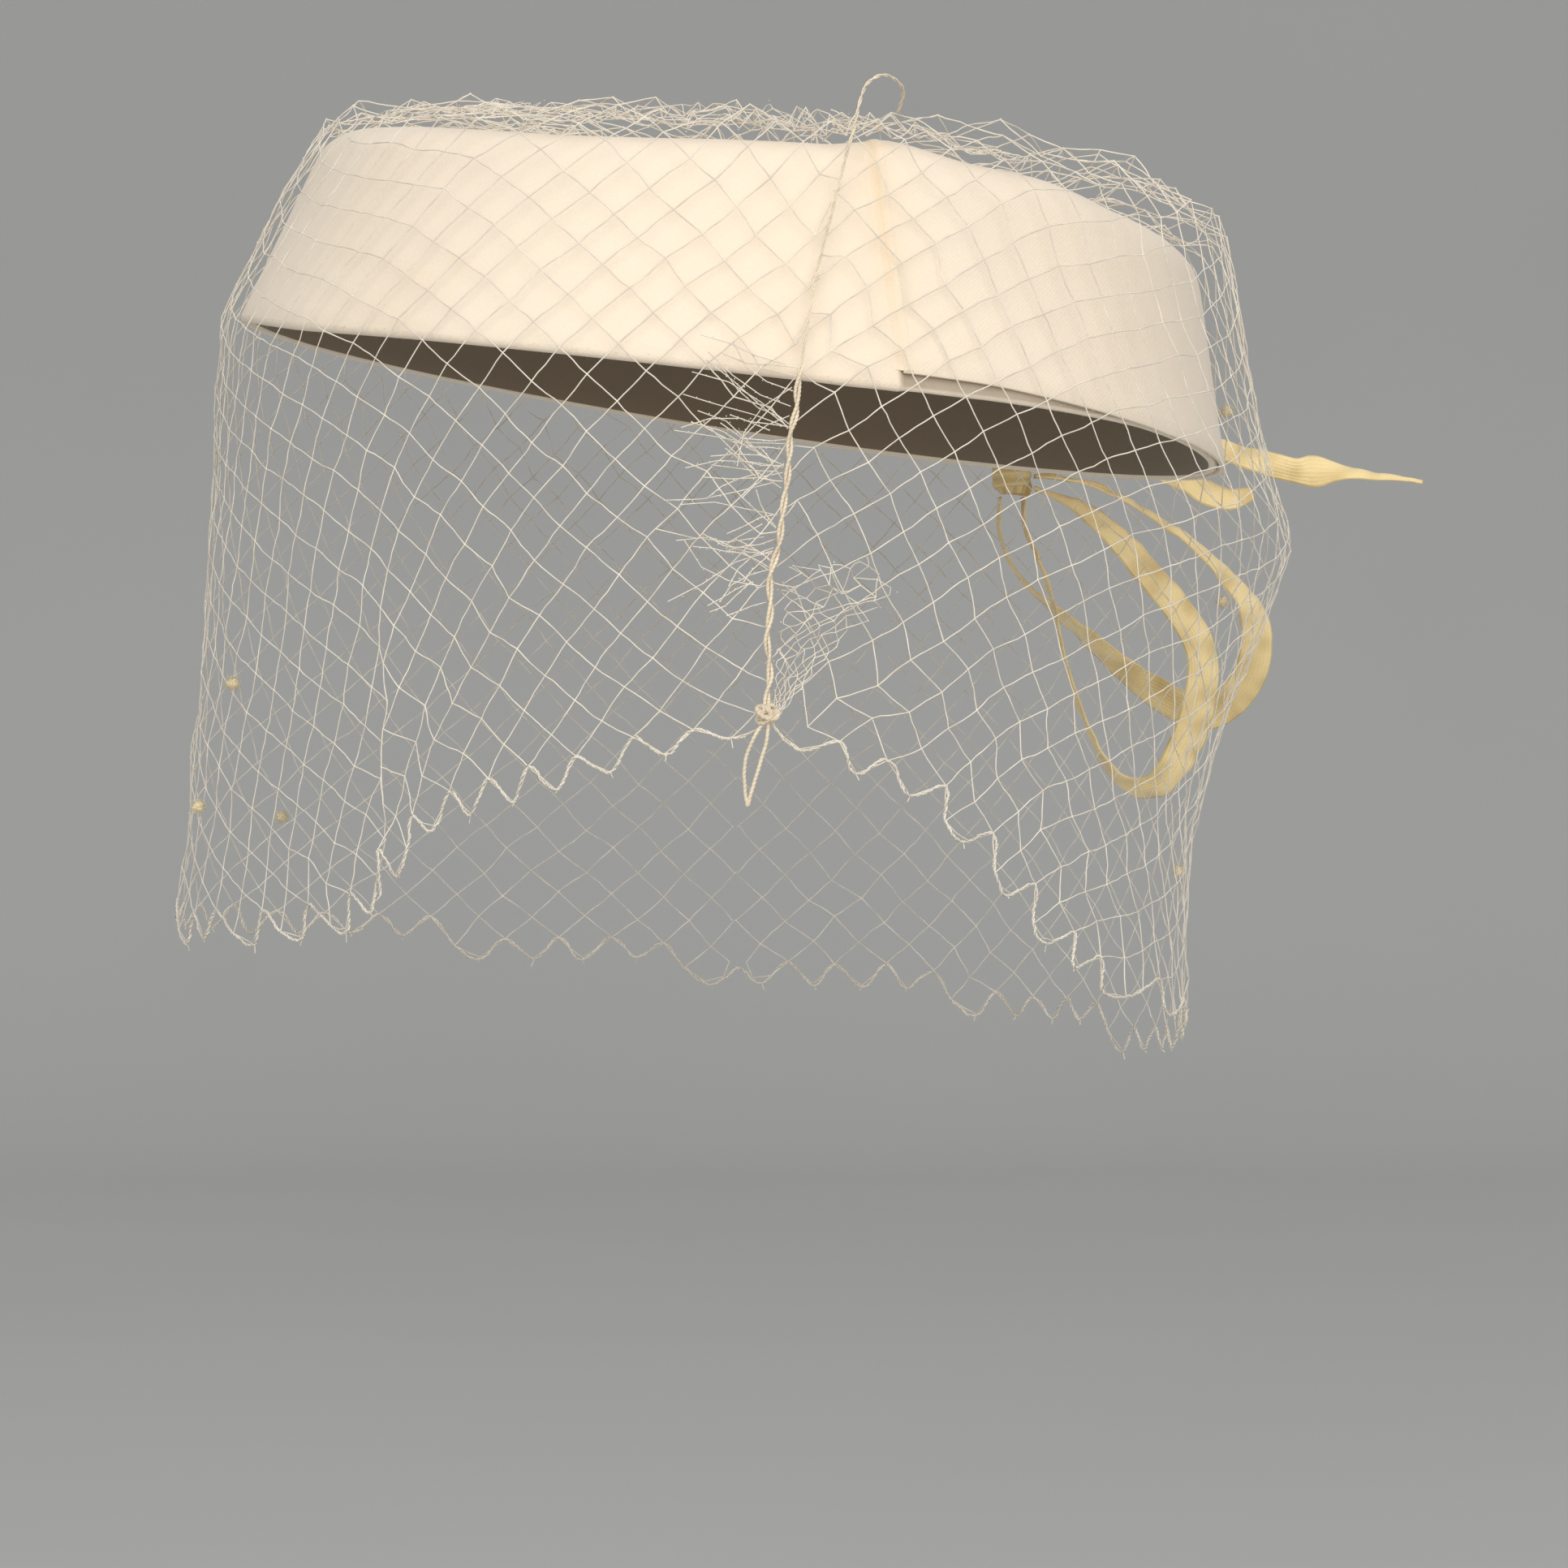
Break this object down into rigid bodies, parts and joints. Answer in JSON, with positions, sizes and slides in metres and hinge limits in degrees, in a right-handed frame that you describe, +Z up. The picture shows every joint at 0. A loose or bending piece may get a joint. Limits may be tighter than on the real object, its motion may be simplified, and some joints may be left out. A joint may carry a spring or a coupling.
{
  "type": "pillbox hat with face veil",
  "caption": "Shallow pillbox hat: sloping fabric band with a lapped panel, flat top, coarse net face veil on a knotted draw cord, and a narrow ribbon bow at the back.",
  "frame": {"origin": "centre of the rim's plane, where the hat sits on a head", "axes": "+Z up as worn, the front of the hat faces -Y, +X to the wearer's left; the crown leans 8.8 degrees towards +X"},
  "size_m": [0.2258, 0.1996, 0.1663],
  "materials": {
    "crepe": "cream crepe over a stiff base, matt, with a fine weave",
    "net": "fine twisted cream-silver net, slight sheen",
    "cord": "twisted cream cotton cord",
    "chenille": "golden cream chenille tuft",
    "ribbon": "narrow yellowed ribbon with a soft sheen"
  },
  "bodies": {
    "root": {"crown_band": "crepe", "lap_panel": "crepe", "crown_tip": "crepe", "veil": "net", "draw_cord": "cord", "cord_knot": "cord", "cord_tail": "cord", "chenille_dot_1": "chenille", "chenille_dot_2": "chenille", "chenille_dot_3": "chenille", "chenille_dot_4": "chenille", "chenille_dot_5": "chenille", "chenille_dot_6": "chenille", "bow_knot": "ribbon", "bow_long_tail": "ribbon", "bow_short_tail": "ribbon", "bow_outer_loop": "ribbon", "bow_inner_loop": "ribbon"}
  },
  "joints": []
}
